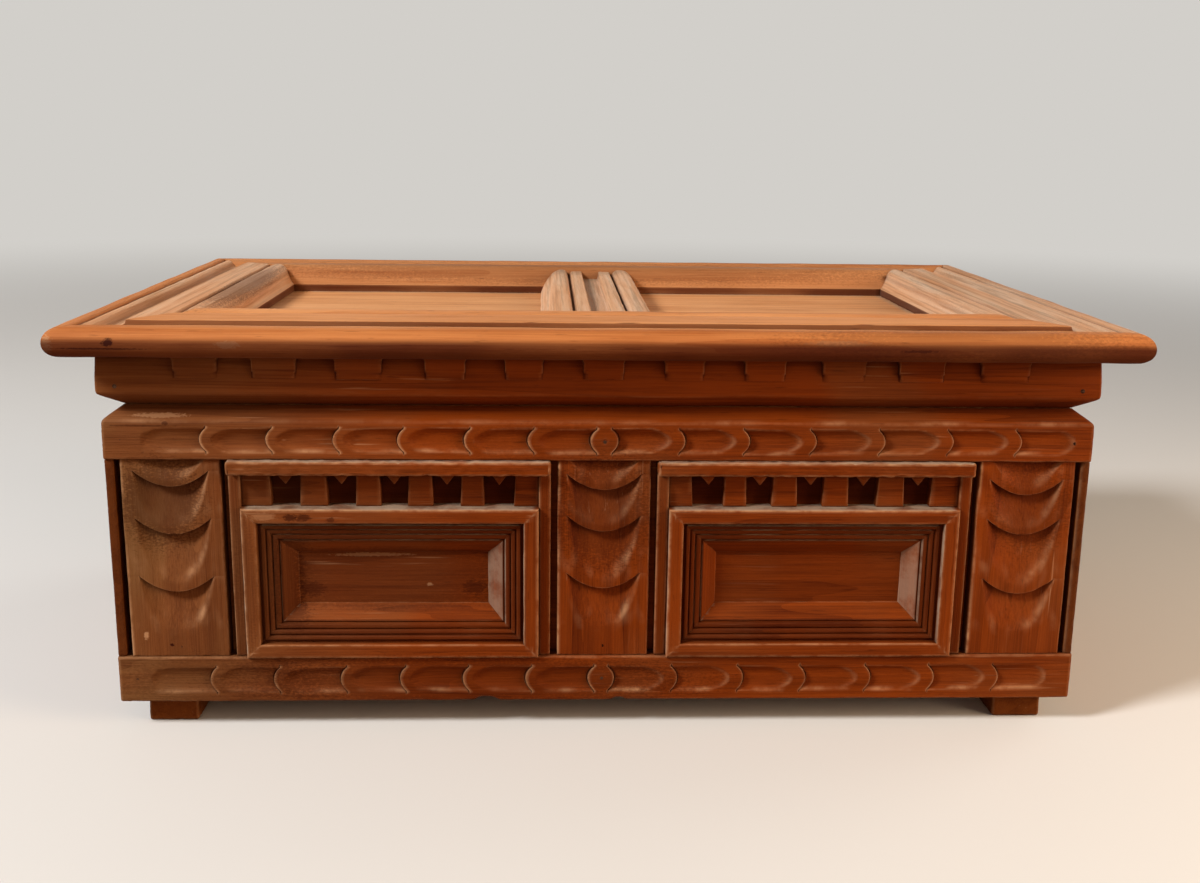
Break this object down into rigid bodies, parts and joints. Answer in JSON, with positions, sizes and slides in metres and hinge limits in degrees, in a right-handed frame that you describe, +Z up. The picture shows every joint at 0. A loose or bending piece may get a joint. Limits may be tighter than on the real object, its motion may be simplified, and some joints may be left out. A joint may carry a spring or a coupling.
{
  "type": "carved box",
  "caption": "Low carved pine box for papers and keepsakes, with a hinged moulded lid, gouged rails, scaled pilasters and false drawer fronts on short feet.",
  "frame": {"origin": "on the floor under the middle of the lid", "axes": "+X along the front to the right, +Y from front to back, +Z up"},
  "size_m": [0.46, 0.291, 0.1839],
  "materials": {
    "lid_pine": "waxed, worn amber pine",
    "front_pine": "stained, worn pine",
    "case_pine": "stained, worn pine",
    "hinge_brass": "dull, aged",
    "nail_steel": "dark, slightly rusted"
  },
  "bodies": {
    "case": {"back_board": "case_pine", "back_left_foot": "case_pine", "back_right_foot": "case_pine", "bottom_board": "case_pine", "bottom_rail": "front_pine", "carcass_nails": "nail_steel", "case_hinge_screws": "hinge_brass", "facing_brads": "nail_steel", "front_board": "front_pine", "front_left_foot": "case_pine", "front_right_foot": "case_pine", "left_end_board": "case_pine", "left_hinge_case_leaf": "hinge_brass", "left_hinge_pin": "hinge_brass", "left_panel_cap": "front_pine", "left_panel_dentils": "front_pine", "left_panel_frame_bottom": "front_pine", "left_panel_frame_inner": "front_pine", "left_panel_frame_outer": "front_pine", "left_panel_frame_top": "front_pine", "left_panel_inner_post": "front_pine", "left_panel_outer_post": "front_pine", "left_pilaster": "front_pine", "middle_pilaster": "front_pine", "right_end_board": "case_pine", "right_hinge_case_leaf": "hinge_brass", "right_hinge_pin": "hinge_brass", "right_panel_cap": "front_pine", "right_panel_dentils": "front_pine", "right_panel_frame_bottom": "front_pine", "right_panel_frame_inner": "front_pine", "right_panel_frame_outer": "front_pine", "right_panel_frame_top": "front_pine", "right_panel_inner_post": "front_pine", "right_panel_outer_post": "front_pine", "right_pilaster": "front_pine", "top_rail": "front_pine"},
    "lid": {"back_moulding": "lid_pine", "back_skirt": "lid_pine", "front_moulding": "lid_pine", "front_skirt": "lid_pine", "left_hinge_lid_leaf": "hinge_brass", "left_moulding": "lid_pine", "left_skirt": "lid_pine", "lid_board": "lid_pine", "lid_hinge_screws": "hinge_brass", "lid_nails": "nail_steel", "muntin": "lid_pine", "right_hinge_lid_leaf": "hinge_brass", "right_moulding": "lid_pine", "right_skirt": "lid_pine"}
  },
  "joints": [
    {"name": "lid_hinge", "type": "hinge", "parent": "case", "child": "lid", "pos_m": [0, 0.13225, 0.1464], "axis": [-1, 0, 0], "range_deg": [0, 105]}
  ]
}
